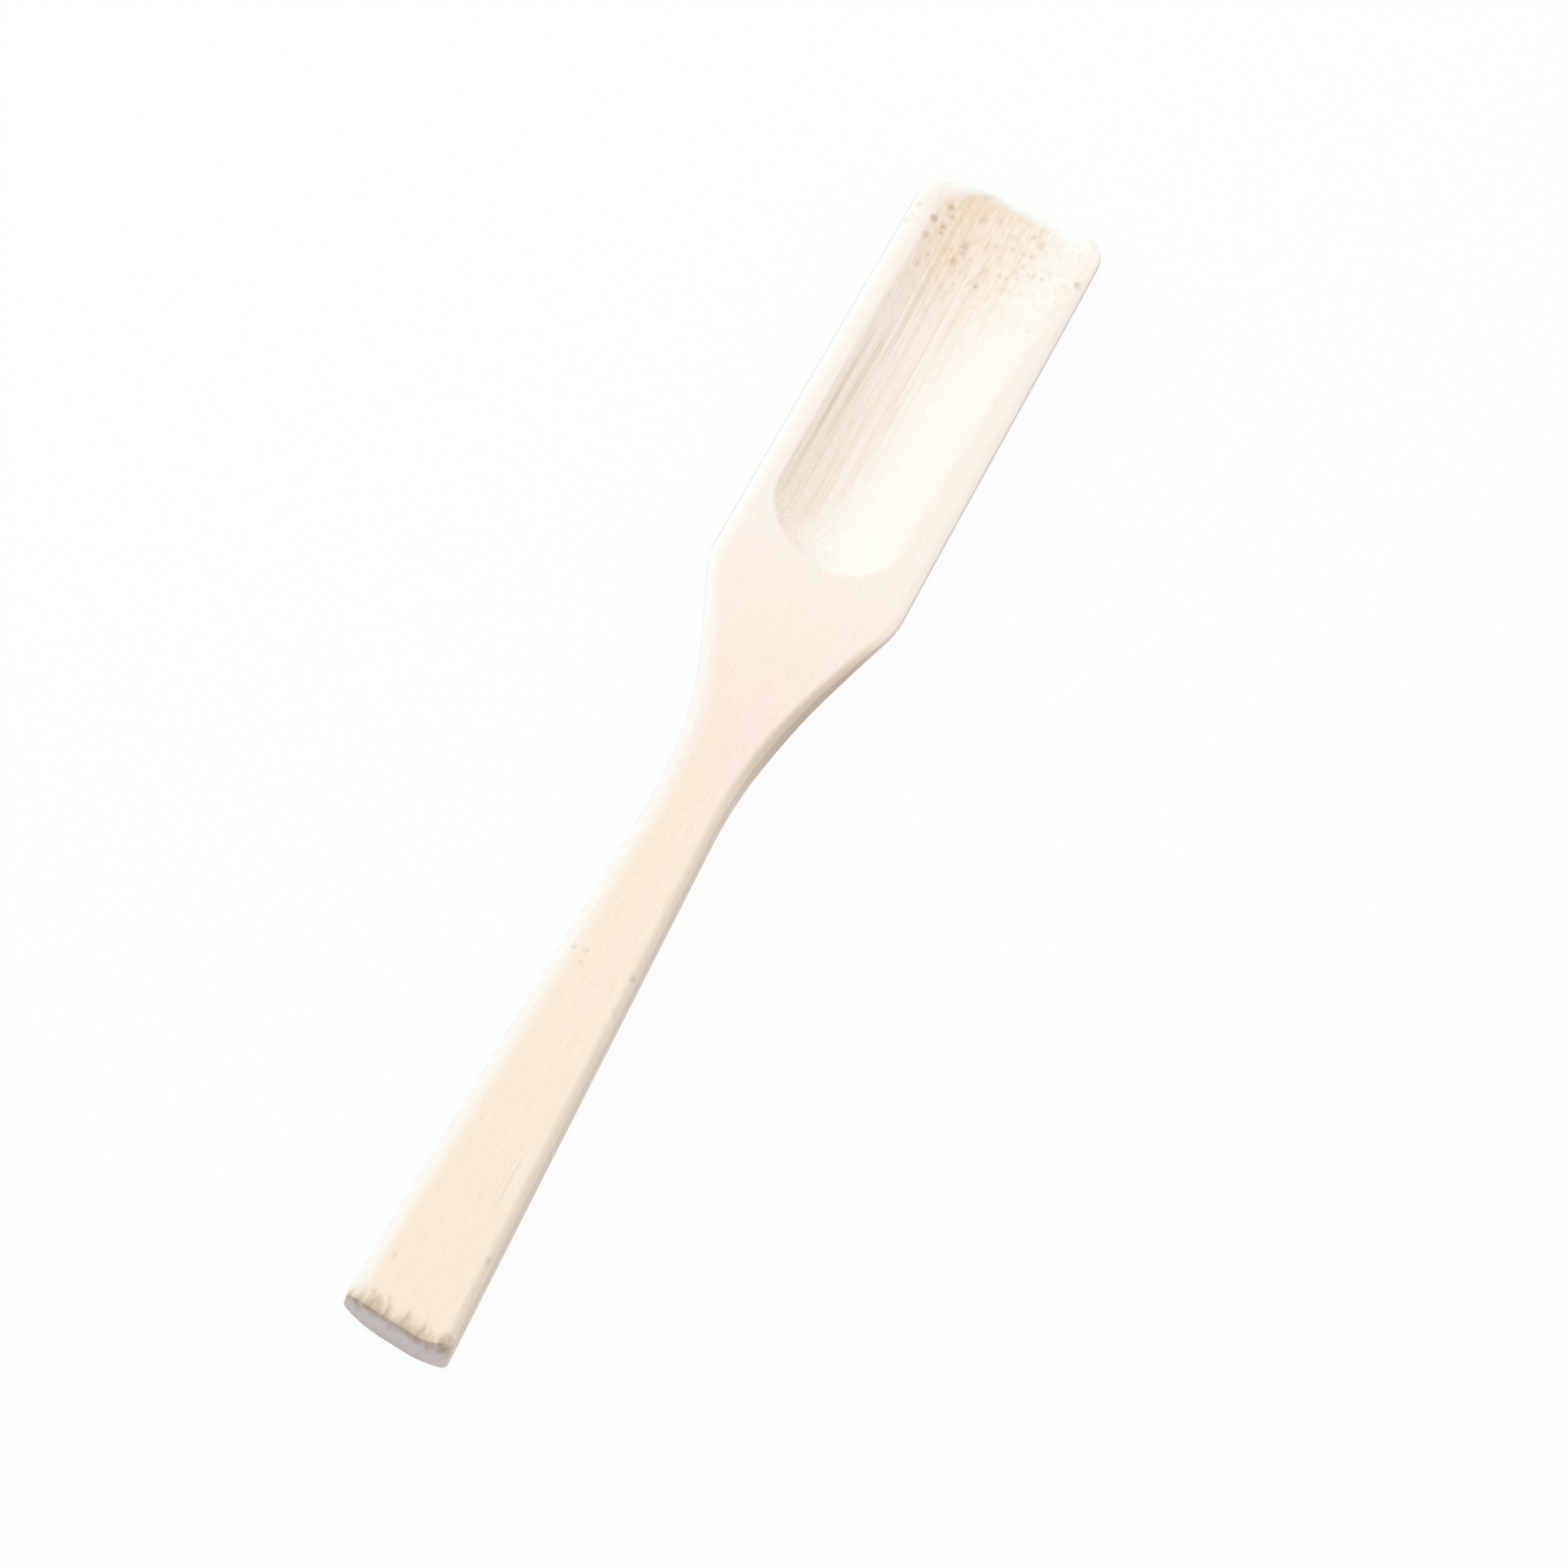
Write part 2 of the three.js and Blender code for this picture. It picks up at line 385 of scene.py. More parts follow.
# Fine dots at the front of the trough: shake, cells to a millimetre, size of a dot, which cells have one
SPECKLE_SHAKE = (3.0, 0.5)
SPECKLE_CELLS = (1.0, 0.7, 0.3)
SPECKLE_SIZES = (0.45, 0.0)
SPECKLE_CHOICE = (0.5, 0.8)

# Frayed upper edge of the handle's end: shake, length of its strokes, and how far in they reach
FRAY_SHAKE = (0.8, 1.0)
FRAY_STROKE_LENGTH = 5.0
FRAY_REACH = (2.6, -1.0)

# Dark right corner of the handle's end: x, y and z, shake, and how far out it reaches
CHARRED_CORNER = (5.7, -89.2, 4.4)
CHARRED_SHAKE = (0.9, 1.6)
CHARRED_REACH = (1.9, 0.0)

# Cut fibre bundles on the handle's end: bundles to a millimetre, and size of their dots
END_DOT_SCALE = 1.7
END_DOT_SIZES = (0.45, 0.15)

# Fine relief and sheen of the wood, whose roughness has a least and a greatest value
HAIR_HEIGHT = 0.5
RELIEF_STRENGTH = 0.25
RELIEF_HEIGHT = 0.06
ROUGHNESS = (0.42, 0.62)
SPECULAR = 0.4

# Camera, as the scoop was seen
CAMERA_AZIMUTH = 7.5
CAMERA_ELEVATION = 57.0
CAMERA_ROLL = 19.741
CAMERA_DISTANCE = 745.7
CAMERA_AIM = (8.57, -0.43, 0.0)
CAMERA_LENS = 144.43
CAMERA_NEAREST = 10.0

# Light and floor, in metres except for the gap, which is in millimetres
SKY_LEVEL = 0.66
KEY_POWER = 6.7
KEY_SIZE = 0.9
KEY_PLACE = (-0.52, 0.39, 1.13)
FLOOR_SIZE = 6.0
FLOOR_GAP = 0.02
FLOOR_COLOUR = "#d9d7d3"
FLOOR_GLOW = 0.93


def ramp(value, first, last):
    """0 before first, 1 after last, even between them"""
    return np.clip((value - first) / (last - first), 0.0, 1.0)


def smooth(value, first, last):
    """0 before first, 1 after last, with a soft start and end"""
    share = ramp(value, first, last)
    return share * share * (3.0 - 2.0 * share)


def mix(low, high, share):
    return low + (high - low) * share


def as_share(value):
    """A value from -1 to 1 as a share from 0 to 1"""
    return (1.0 + value) / 2.0


def noise(x, y, bump_width, bump_length, seed):
    """Smooth noise from -1 to 1 over a plane, with bumps of one size"""
    table = np.random.default_rng(seed).uniform(-1.0, 1.0, (NOISE_CELLS, NOISE_CELLS))
    across = x / bump_width
    along = y / bump_length
    column = np.floor(across).astype(int)
    row = np.floor(along).astype(int)
    columns = (column % NOISE_CELLS, (column + 1) % NOISE_CELLS)
    rows = (row % NOISE_CELLS, (row + 1) % NOISE_CELLS)
    share = smooth(across - column, 0.0, 1.0)
    near, far = (mix(table[line, columns[0]], table[line, columns[1]], share) for line in rows)
    return mix(near, far, smooth(along - row, 0.0, 1.0))


def sweep_at(station):
    """How far the floor, the underside and the front lip have swept up, from 0 to 1"""
    return ramp(station, SWEEP_STATION, TIP_STATION) ** 2


def edge_thickness_at(station):
    return mix(HANDLE_EDGE_THICKNESS, HEAD_EDGE_THICKNESS, smooth(station, NECK_STATION, SHOULDER_STATION))


def bevel_drop_at(station):
    return mix(HANDLE_BEVEL_DROP, HEAD_BEVEL_DROP, smooth(station, NECK_STATION, SHOULDER_STATION))


def slant_at(station):
    return mix(HANDLE_END_SLANT, HEAD_SLANT, ramp(station, 0.0, SHOULDER_STATION))


def middle_at(station):
    """Sideways place of the middle line"""
    to_neck = NECK_OFFSET * smooth(station, 0.0, NECK_STATION)
    to_shoulder = (SHOULDER_OFFSET - NECK_OFFSET) * smooth(station, NECK_STATION, SHOULDER_STATION)
    to_tip = -SHOULDER_OFFSET * smooth(station, SHOULDER_STATION, TIP_STATION)
    return to_neck + to_shoulder + to_tip


def inset_at(station):
    """How far the roundings of the handle's end and of the lip draw the surface in"""
    end = ramp(station, END_ROUND, 0.0)
    lip = ramp(station, TIP_STATION - LIP_ROUND, TIP_STATION)
    return END_ROUND * (1.0 - np.sqrt(1.0 - end ** 2)) + LIP_ROUND * (1.0 - np.sqrt(1.0 - lip ** 2))


def left_lean_at(station):
    """Lean of the left side, which is undercut where the neck flares"""
    to_flare = smooth(station, NECK_STATION - NECK_EASE, NECK_STATION)
    to_head = smooth(station, SHOULDER_STATION - SHOULDER_EASE, SHOULDER_STATION + SHOULDER_EASE)
    return mix(mix(LEFT_HANDLE_LEAN, LEFT_FLARE_LEAN, to_flare), LEFT_HEAD_LEAN, to_head)


def stations():
    """Places of the cross-sections, close together at the ends and round the trough's rear"""
    rear_first = REAR_APEX - BEFORE_REAR_LENGTH
    rear_last = REAR_STATION + AFTER_REAR_LENGTH
    lip_first = TIP_STATION - LIP_FINE_LENGTH
    lip_last = TIP_STATION - LIP_ROUND
    stretches = (
        (0.0, END_FINE_LENGTH, END_STEP),
        (END_FINE_LENGTH, END_RUN_LENGTH, RUN_STEP),
        (END_RUN_LENGTH, rear_first, HANDLE_STEP),
        (rear_first, rear_last, REAR_STEP),
        (rear_last, lip_first, RUN_STEP),
        (lip_first, lip_last, LIP_STEP),
        (lip_last, TIP_STATION, END_STEP),
    )
    pieces = [np.linspace(a, b, math.ceil((b - a) / step), endpoint=False) for a, b, step in stretches]
    return np.concatenate(pieces + [[TIP_STATION]])


def unit(vectors):
    return vectors / np.linalg.norm(vectors, axis=-1, keepdims=True)


def rounded_corner(before, corner, after, reach, count=CORNER_POINTS):
    """Points round a corner, which start and end a reach away from it"""
    share = np.linspace(0.0, 1.0, count).reshape((-1,) + (1,) * corner.ndim)
    start = corner + unit(before - corner) * reach
    end = corner + unit(after - corner) * reach
    return (1.0 - share) ** 2 * start + 2.0 * share * (1.0 - share) * corner + share ** 2 * end


def half_width_at(station, end_ease):
    """Half width of the outline on one side, its corners rounded"""
    corners = np.array([
        (0.0, 0.0),
        (HANDLE_END_WIDTH / 2, 0.0),
        (NECK_WIDTH / 2, NECK_STATION),
        (HEAD_WIDTH / 2, SHOULDER_STATION),
        (HEAD_WIDTH / 2, TIP_STATION),
        (0.0, TIP_STATION),
    ])
    eases = (end_ease, NECK_EASE, SHOULDER_EASE, TIP_EASE)
    places = zip(corners, corners[1:], corners[2:], eases)
    path = np.concatenate([rounded_corner(*place, OUTLINE_POINTS) for place in places])
    return np.interp(station, path[:, 1], path[:, 0])


def section_side(half, station, lean):
    """One side of every cross-section, from the edge of the flat round to the flat underneath"""
    edge = edge_thickness_at(station)
    bottom = LIP_RISE * sweep_at(station)
    crown = TOP_HEIGHT - edge - bottom
    inset = inset_at(station)
    drop = bevel_drop_at(station)
    foot = half - np.maximum(lean, 0.0) * (edge - drop)
    centre = np.stack([np.zeros_like(half), np.full_like(half, TOP_HEIGHT)], axis=-1)
    bevel_top = np.stack([foot - BEVEL_WIDTH, np.full_like(half, TOP_HEIGHT)], axis=-1)
    bevel_foot = np.stack([foot, TOP_HEIGHT - drop], axis=-1)
    side_foot = np.stack([half + np.minimum(lean, 0.0) * (edge - drop), TOP_HEIGHT - edge], axis=-1)
    share = np.linspace(UNDERSIDE_START, 0.0, UNDERSIDE_POINTS)[:, None]
    under_x = mix(REST_FLAT_WIDTH / 2, side_foot[:, 0], share)
    under_z = bottom + crown * share ** 2 + inset
    under = np.stack([under_x, under_z], axis=-1)
    corners = np.concatenate([
        rounded_corner(centre, bevel_top, bevel_foot, EDGE_ROUND),
        rounded_corner(bevel_top, bevel_foot, side_foot, FOOT_ROUND),
        rounded_corner(bevel_foot, side_foot, under[0], EDGE_ROUND),
    ])
    corners[..., 1] += np.linspace(-1.0, 1.0, len(corners))[:, None] * inset
    return np.concatenate([corners, under])


def trough_sides_at(station):
    """Sideways place of the trough's left and right rims"""
    along = (station - REAR_STATION) / (TIP_STATION - REAR_STATION)
    along = np.maximum(along, 0.0)
    half = mix(TROUGH_REAR_WIDTH, TROUGH_FRONT_WIDTH, along) / 2
    middle = mix(TROUGH_REAR_OFFSET, TROUGH_FRONT_OFFSET, along)
    bend = ramp(station, TIP_STATION - RIM_BEND_LENGTH, TIP_STATION)
    bent = RIM_BEND_WIDTH * bend ** 2
    return middle - half + bent, middle + half


def trough_cut(x, y):
    """Depth of the trough below the flat, negative outside its rim"""
    left, right = trough_sides_at(y)
    half = (right - left) / 2
    depth = mix(TROUGH_DEPTH, LIP_DEPTH, sweep_at(y))
    radius = (half ** 2 + depth ** 2) / (2.0 * depth)
    from_middle = x - (left + right) / 2
    behind = np.maximum(REAR_STATION - y - REAR_TILT * from_middle, 0.0)
    power = np.where(from_middle > 0.0, RIGHT_REAR_SQUARENESS, LEFT_REAR_SQUARENESS)
    power = np.where(behind > 0.0, power, CIRCLE_SQUARENESS)
    distance = (np.abs(from_middle) ** power + behind ** power) ** (1.0 / power)
    return np.sqrt(np.maximum(radius ** 2 - distance ** 2, 0.0)) - (radius - depth)


def across_trough(x, y):
    """-1 on the trough's left rim, 1 on its right rim"""
    left, right = trough_sides_at(y)
    return (2.0 * x - left - right) / (right - left)


def top_columns(left_edge, right_edge, station):
    """Sideways places across the upper face, where each rim of the trough keeps one column"""
    left_rim, right_rim = np.stack(trough_sides_at(station)) - middle_at(station)
    rear = np.searchsorted(station, REAR_STATION)
    behind = station < REAR_STATION
    left_knot = np.where(behind, left_edge * left_rim[rear] / left_edge[rear], left_rim)
    right_knot = np.where(behind, right_edge * right_rim[rear] / right_edge[rear], right_rim)
    left_knot = np.maximum(left_knot, left_edge + LEAST_RIM)
    right_knot = np.minimum(right_knot, right_edge - LEAST_RIM)
    rim = np.linspace(0.0, 1.0, RIM_COLUMNS + 1)[1:, None]
    hollow = np.linspace(0.0, 1.0, TROUGH_COLUMNS)[1:-1, None]
    return np.concatenate([
        mix(left_edge, left_knot, rim),
        mix(left_knot, right_knot, hollow),
        mix(right_edge, right_knot, rim)[::-1],
    ])


def streaks_at(x, y):
    """How dark the gouge marks are, or how pale below 0"""
    wandered = x + STREAK_WANDER * noise(x, y, *WANDER_BUMPS)
    broken = STREAK_LEVEL + STREAK_BREAKS * noise(x, y, *BREAK_BUMPS)
    total = FINE_STREAKS * noise(wandered, y, *FINE_STREAK_BUMPS)
    along = y - ORIGIN_Y
    for place, half, first, last, dark in STREAKS:
        aside = np.abs(wandered - place - ORIGIN_X)
        across = 1.0 - smooth(aside, STREAK_CORE * half, STREAK_REACH * half)
        begun = smooth(along, first - STREAK_FADE_OUTSIDE, first + STREAK_FADE_INSIDE)
        ended = smooth(along, last - STREAK_FADE_INSIDE, last + STREAK_FADE_OUTSIDE)
        total = total + dark * begun * (1.0 - ended) * broken * across
    return np.clip(total, -1.0, 1.0)


def plane_strokes_at(x, y):
    """Where the plane has left strokes on the handle, from 0 to 1"""
    place_x, place_y, across, along = PLANE_STROKES
    aside = smooth(np.abs(x - place_x - ORIGIN_X), PLANE_STROKE_CORE * across, across)
    beyond = smooth(np.abs(y - place_y - ORIGIN_Y), PLANE_STROKE_CORE * along, along)
    return (1.0 - aside) * (1.0 - beyond)


def light_at(across, along):
    """How far the pale right of the trough, painted paler as lit, has taken over from its shaded left, from
    0 to 1
    """
    first = np.interp(along, LIT_Y, LIT_STARTS)
    last = np.interp(along, LIT_Y, LIT_ENDS)
    return smooth(across, first, last)


def shade_at(across, along, cut):
    """How shaded the left of the trough is, from 0 to 1"""
    start = mix(*SHADE_START_Y, smooth(across, *SHADE_START_ACROSS))
    shaded = (1.0 - light_at(across, along)) * smooth(cut, *SHADE_DEPTHS)
    return shaded * smooth(along, start, start + SHADE_RISE)


def wall_tan_at(across, along, front):
    """How tan the shaded wall of the trough is, most at its rear and round the front corner"""
    wall = mix(*WALL_TAN, smooth(along, *WALL_TAN_Y)) * mix(RIM_TAN, 1.0, smooth(across, *RIM_TAN_ACROSS))
    corner = mix(FRONT_TAN, 1.0, smooth(across, *FRONT_TAN_ACROSS)) * front
    return np.maximum(wall, corner)


def torn_at(x, y):
    """How torn the fibres of a rough cut are, from 0 to 1"""
    fibres = noise(x, y, *TORN_BUMPS) + TORN_PATCHES * noise(x, y, *TORN_PATCH_BUMPS)
    return smooth(fibres, *TORN_LEVELS)


def marks_at(x, y, cut):
    """What the tools left on the upper face, by name"""
    across = across_trough(x, y)
    along = y - ORIGIN_Y
    hollow = smooth(cut, *HOLLOW_DEPTHS)
    shaded = shade_at(across, along, cut)
    rear = (1.0 - smooth(along, *REAR_FADE_Y)) * hollow
    speckled = smooth(along, *SPECKLED_Y) * hollow
    return {
        "hollow": hollow,
        "lit": light_at(across, along) * hollow,
        "tan": shaded * wall_tan_at(across, along, speckled),
        "shaded": shaded,
        "streak": streaks_at(x, y) * (shaded + PLANE_STROKE_SHARE * plane_strokes_at(x, y)),
        "torn": torn_at(x, y) * rear * (1.0 - smooth(across, *TORN_FADE_ACROSS)),
        "rear": rear * smooth(across, *REAR_PALE_ACROSS),
        "speckled": speckled,
    }


def upper_face(x, y, inset):
    """Heights of the upper face and the marks on it"""
    cut = trough_cut(x, y)
    to_front = smooth(y, TIP_STATION - FRONT_SOFTENING, TIP_STATION)
    soft_cut = (cut + np.hypot(cut, mix(RIM_SOFTNESS, FRONT_RIM_SOFTNESS, to_front))) / 2
    marks = marks_at(x, y, cut)
    waves = WAVE_DEPTH * as_share(noise(x, y, *WAVE_BUMPS))
    flutes = FLUTE_DEPTH * as_share(marks["streak"]) * marks["hollow"]
    torn = TORN_DEPTH * marks["torn"]
    return TOP_HEIGHT - inset - soft_cut - waves - flutes - torn, marks


def down_side(points, values):
    """A value at each point down a side, even between the points that are given"""
    return np.interp(np.arange(SIDE_POINTS), points, values)[:, None]


def lip_highlight(x, station, hollow):
    """How strong the painted highlight on the front lip is"""
    reach = np.interp(x, LIP_HIGHLIGHT_X, LIP_HIGHLIGHT_LENGTHS)
    first, last = (TIP_STATION - share * reach for share in LIP_HIGHLIGHT_FADE)
    outside = np.maximum(1.0 - hollow, smooth(x, *HOLLOW_LIP_HIGHLIGHT_X))
    return LIP_HIGHLIGHT * outside * smooth(station, first, last)


def left_edge_highlight(x, station):
    """How strong the painted highlight on the upper face is beside the left edge"""
    width = np.interp(station, LEFT_HIGHLIGHT_STATIONS, LEFT_HIGHLIGHT_WIDTHS)
    return LEFT_HIGHLIGHT * (1.0 - smooth(x - x[0], 0.0, width))


def painted_edge_highlights(x, station, hollow):
    """Painted highlights on the edges: the left edge and the front lip most of all"""
    edge_highlight = np.zeros_like(x)
    edge_highlight[TOP] = np.maximum(lip_highlight(x[TOP], station, hollow[TOP]), left_edge_highlight(x[TOP], station))
    edge_highlight[LEFT_SIDE] = down_side(BEVEL_POINTS, LEFT_BEVEL_HIGHLIGHT)[::-1]
    return edge_highlight * smooth(station, 0.0, HIGHLIGHT_START)


def side_cut_and_shade(station):
    """How much darker the right side is, for fibres cut across the grain and for painted shade, most where
    the neck flares
    """
    begun = smooth(station, NECK_STATION - SIDE_CUT_BEFORE_NECK, NECK_STATION + SIDE_CUT_AFTER_NECK)
    ended = smooth(station, SHOULDER_STATION - SIDE_CUT_BEFORE_SHOULDER, SHOULDER_STATION)
    side = np.zeros((RING_POINTS, len(station)))
    side[RIGHT_SIDE] = down_side(SIDE_CUT_POINTS, SIDE_CUT_SHARES) * begun * (1.0 - ended)
    return side


def shaded_bevel(station):
    """How grey the right bevel of the handle is"""
    on_handle = 1.0 - smooth(station, NECK_STATION, SHOULDER_STATION)
    bevel = np.zeros((RING_POINTS, len(station)))
    bevel[RIGHT_SIDE] = down_side(BEVEL_POINTS, RIGHT_BEVEL_GREY) * on_handle
    return bevel


def underside(station):
    """1 on the crowned underside, 0 elsewhere"""
    under = np.zeros((RING_POINTS, len(station)))
    under[UNDERSIDE] = 1.0
    return under


def corner_wear(x, z, station):
    """How far the right upper corner of the handle's end has worn back"""
    aside = smooth(x, CORNER_WEAR_X, HANDLE_END_WIDTH / 2)
    high = smooth(z, FLOOR_THICKNESS, TOP_HEIGHT)
    return CORNER_WEAR * aside * high * (1.0 - smooth(station, 0.0, CORNER_WEAR_LENGTH))


def blank_sections(station):
    """Sideways places and heights of every cross-section before the trough is cut"""
    inset = inset_at(station)
    right_lean = np.full_like(station, SIDE_LEAN)
    left = section_side(half_width_at(station, LEFT_END_EASE) - inset, station, left_lean_at(station))
    right = section_side(half_width_at(station, RIGHT_END_EASE) - inset, station, right_lean)
    top_x = top_columns(-left[0, :, 0], right[0, :, 0], station)
    x = np.concatenate([top_x, right[..., 0], -left[::-1, :, 0]])
    z = np.concatenate([np.full_like(top_x, TOP_HEIGHT), right[..., 1], left[::-1, :, 1]])
    return x, z


def places_along(x, z, station):
    """Where each point lies along the scoop, whose ends are slanted, bowed and worn"""
    drop = np.where(x < 0.0, LEFT_TIP_DROP, RIGHT_TIP_DROP)
    bow = sweep_at(station) * (TIP_BOW - drop * (2.0 * x / HEAD_WIDTH) ** 2)
    return station + slant_at(station) * x + bow + corner_wear(x, z, station)


def scoop_rings():
    """Points of every cross-section, and the value of each mark at each point"""
    station = stations()
    x, z = blank_sections(station)
    y = places_along(x, z, station)
    x = x + middle_at(station)
    face, marks = upper_face(x, y, inset_at(station))
    marks = {name: np.where(face <= z, values, 0.0) for name, values in marks.items()}
    marks["edge_highlight"] = painted_edge_highlights(x, station, marks["hollow"])
    marks["side"] = side_cut_and_shade(station)
    marks["bevel"] = shaded_bevel(station)
    marks["under"] = underside(station)
    marks["station"] = np.broadcast_to(station, x.shape)
    points = np.stack([x - ORIGIN_X, y - ORIGIN_Y, np.minimum(z, face)], axis=-1)
    return points.swapaxes(0, 1), {name: values.T for name, values in marks.items()}


def skin_faces(ring_count, size):
    """Four-sided faces between rings of points that follow each other"""
    first = np.arange(ring_count - 1)[:, None] * size
    here = first + np.arange(size)
    beside = first + (np.arange(size) + 1) % size
    return np.stack([here, beside, beside + size, here + size], axis=-1).reshape(-1, 4)


def zipped(upper, lower, x):
    """Triangles between two rows of points that both run from left to right"""
    triangles = []
    while len(upper) > 1 or len(lower) > 1:
        if len(lower) == 1 or (len(upper) > 1 and x[upper[1]] < x[lower[1]]):
            triangles.append([upper[0], lower[0], upper[1]])
            upper = upper[1:]
        else:
            triangles.append([upper[0], lower[0], lower[1]])
            lower = lower[1:]
    return triangles


def end_triangles(ring):
    """Triangles that close one ring of points between its upper and lower sides"""
    order = list(range(len(ring)))
    left = int(np.argmin(ring[:, 0]))
    right = int(np.argmax(ring[:, 0]))
    upper = order[left:] + order[:right + 1]
    lower = order[right:left + 1][::-1]
    return np.array(zipped(upper, lower, ring[:, 0]))


def scoop_mesh():
    rings, marks = scoop_rings()
    count, size = rings.shape[:2]
    faces = skin_faces(count, size).tolist()
    faces += end_triangles(rings[0]).tolist()
    faces += (end_triangles(rings[-1])[:, ::-1] + (count - 1) * size).tolist()
    mesh = bpy.data.meshes.new("carved_scoop")
    mesh.from_pydata((rings.reshape(-1, 3) * MM).tolist(), [], faces)
    for name, values in marks.items():
        attribute = mesh.attributes.new(name, "FLOAT", "POINT")
        attribute.data.foreach_set("value", np.ascontiguousarray(values, dtype=np.float32).ravel())
    mesh.shade_smooth()
    mesh.set_sharp_from_angle(angle=math.radians(SHARP_ANGLE))
    mesh.validate()
    return mesh


def linear(colour):
    """A hex colour as linear red, green, blue and alpha"""
    parts = [part / FULL_BYTE for part in bytes.fromhex(colour[1:])]
    return (*Color(parts).from_srgb_to_scene_linear(), 1.0)


class Graph:
    """Adds the nodes of a material or world in few words"""

    def __init__(self, tree):
        self.tree = tree
        tree.nodes.clear()

    def put(self, socket, value):
        if isinstance(value, bpy.types.NodeSocket):
            self.tree.links.new(value, socket)
        else:
            socket.default_value = value

    def add(self, kind, inputs, **settings):
        node = self.tree.nodes.new(kind)
        for name, value in settings.items():
            setattr(node, name, value)
        for socket, value in inputs.items():
            self.put(node.inputs[socket], value)
        return node

    def math(self, operation, first, second):
        return self.add("ShaderNodeMath", {0: first, 1: second}, operation=operation).outputs[0]

    def vector(self, operation, first, second):
        return self.add("ShaderNodeVectorMath", {0: first, 1: second}, operation=operation)

    def product(self, first, *others):
        for other in others:
            first = self.math("MULTIPLY", first, other)
        return first

    def step(self, value, low, high):
        """0 at low and before it, 1 at high and beyond it"""
        inputs = {"Value": value, "From Min": low, "From Max": high}
        return self.add("ShaderNodeMapRange", inputs, interpolation_type="SMOOTHSTEP").outputs[0]

    def blend(self, share, low, high):
        node = self.add("ShaderNodeMix", {0: share, 6: low, 7: high}, data_type="RGBA")
        return node.outputs[2]

    def cover(self, colour, paint, *shares):
        """A colour with a paint over it, as thick as the product of the shares"""
        return self.blend(self.product(*shares), colour, linear(paint))


class Wood(Graph):
    """The nodes of the bamboo, with the places and the noise that its colours share"""

    def __init__(self, tree):
        super().__init__(tree)
        metres = self.add("ShaderNodeTexCoord", {}).outputs["Object"]
        normal = self.add("ShaderNodeNewGeometry", {}).outputs["Normal"]
        self.place = self.vector("MULTIPLY", metres, (1.0 / MM,) * 3).outputs[0]
        self.facing = self.add("ShaderNodeSeparateXYZ", {0: normal}).outputs
        self.station = self.mark("station")
        self.fibre = self.noise(self.place, *FIBRE_NOISE)
        self.mottle = self.noise(self.place, *MOTTLE_NOISE)

    def mark(self, name):
        return self.add("ShaderNodeAttribute", {}, attribute_name=name).outputs["Fac"]

    def noise(self, place, scale, detail):
        vector = self.vector("MULTIPLY", place, scale).outputs[0]
        return self.add("ShaderNodeTexNoise", {"Vector": vector, "Scale": 1.0, "Detail": detail}).outputs[0]

    def shaken(self, scale, reach):
        """Places moved a little way by noise, for ragged shapes"""
        shift = self.add("ShaderNodeTexNoise", {"Vector": self.place, "Scale": scale}).outputs["Color"]
        shift = self.vector("SUBTRACT", shift, (NOISE_MIDDLE,) * 3).outputs[0]
        shift = self.vector("MULTIPLY", shift, (reach,) * 3).outputs[0]
        return self.vector("ADD", self.place, shift).outputs[0]


def spots(wood):
    """The small dark ends of fibre bundles on the upper face"""
    flat_place = wood.vector("MULTIPLY", wood.shaken(*SPOT_SHAKE), (1.0, SPOT_SQUEEZE, 0.0)).outputs[0]
    mask = 0.0
    for x, y, radius, dark in SPOTS:
        distance = wood.vector("DISTANCE", flat_place, (x, SPOT_SQUEEZE * y, 0.0)).outputs["Value"]
        spot = wood.step(distance, SPOT_EDGE * radius, SPOT_CORE * radius)
        mask = wood.math("MAXIMUM", mask, wood.product(spot, dark))
    return wood.product(mask, wood.step(wood.facing["Z"], *UPWARD_FACING))


def speckles(wood):
    """Fine dots where a joint of the culm crosses the front of the trough"""
    vector = wood.vector("MULTIPLY", wood.shaken(*SPECKLE_SHAKE), SPECKLE_CELLS).outputs[0]
    cells = wood.add("ShaderNodeTexVoronoi", {"Vector": vector, "Scale": 1.0})
    dots = wood.step(cells.outputs["Distance"], *SPECKLE_SIZES)
    chosen = wood.step(cells.outputs["Color"], *SPECKLE_CHOICE)
    return wood.product(dots, chosen, wood.mark("speckled"))


def fray(wood):
    """Dark torn fibres along the upper edge of the handle's end"""
    height = wood.add("ShaderNodeSeparateXYZ", {0: wood.place}).outputs["Z"]
    from_edge = wood.math("ADD", wood.station, wood.math("SUBTRACT", TOP_HEIGHT, height))
    strokes = wood.noise(wood.shaken(*FRAY_SHAKE), *FRAY_NOISE)
    strokes = wood.product(wood.math("SUBTRACT", strokes, NOISE_MIDDLE), FRAY_STROKE_LENGTH)
    return wood.step(wood.math("ADD", from_edge, strokes), *FRAY_REACH)


def charred_corner(wood):
    """The dark right corner of the handle's end"""
    distance = wood.vector("DISTANCE", wood.shaken(*CHARRED_SHAKE), CHARRED_CORNER).outputs["Value"]
    return wood.step(distance, *CHARRED_REACH)


def end_grain(wood):
    """Colour of the handle's end, dotted with cut fibre bundles"""
    cells = wood.add("ShaderNodeTexVoronoi", {"Vector": wood.place, "Scale": END_DOT_SCALE})
    dots = wood.step(cells.outputs["Distance"], *END_DOT_SIZES)
    return wood.cover(linear(END_GRAIN), END_DOT, dots, END_DOT_SHARE)


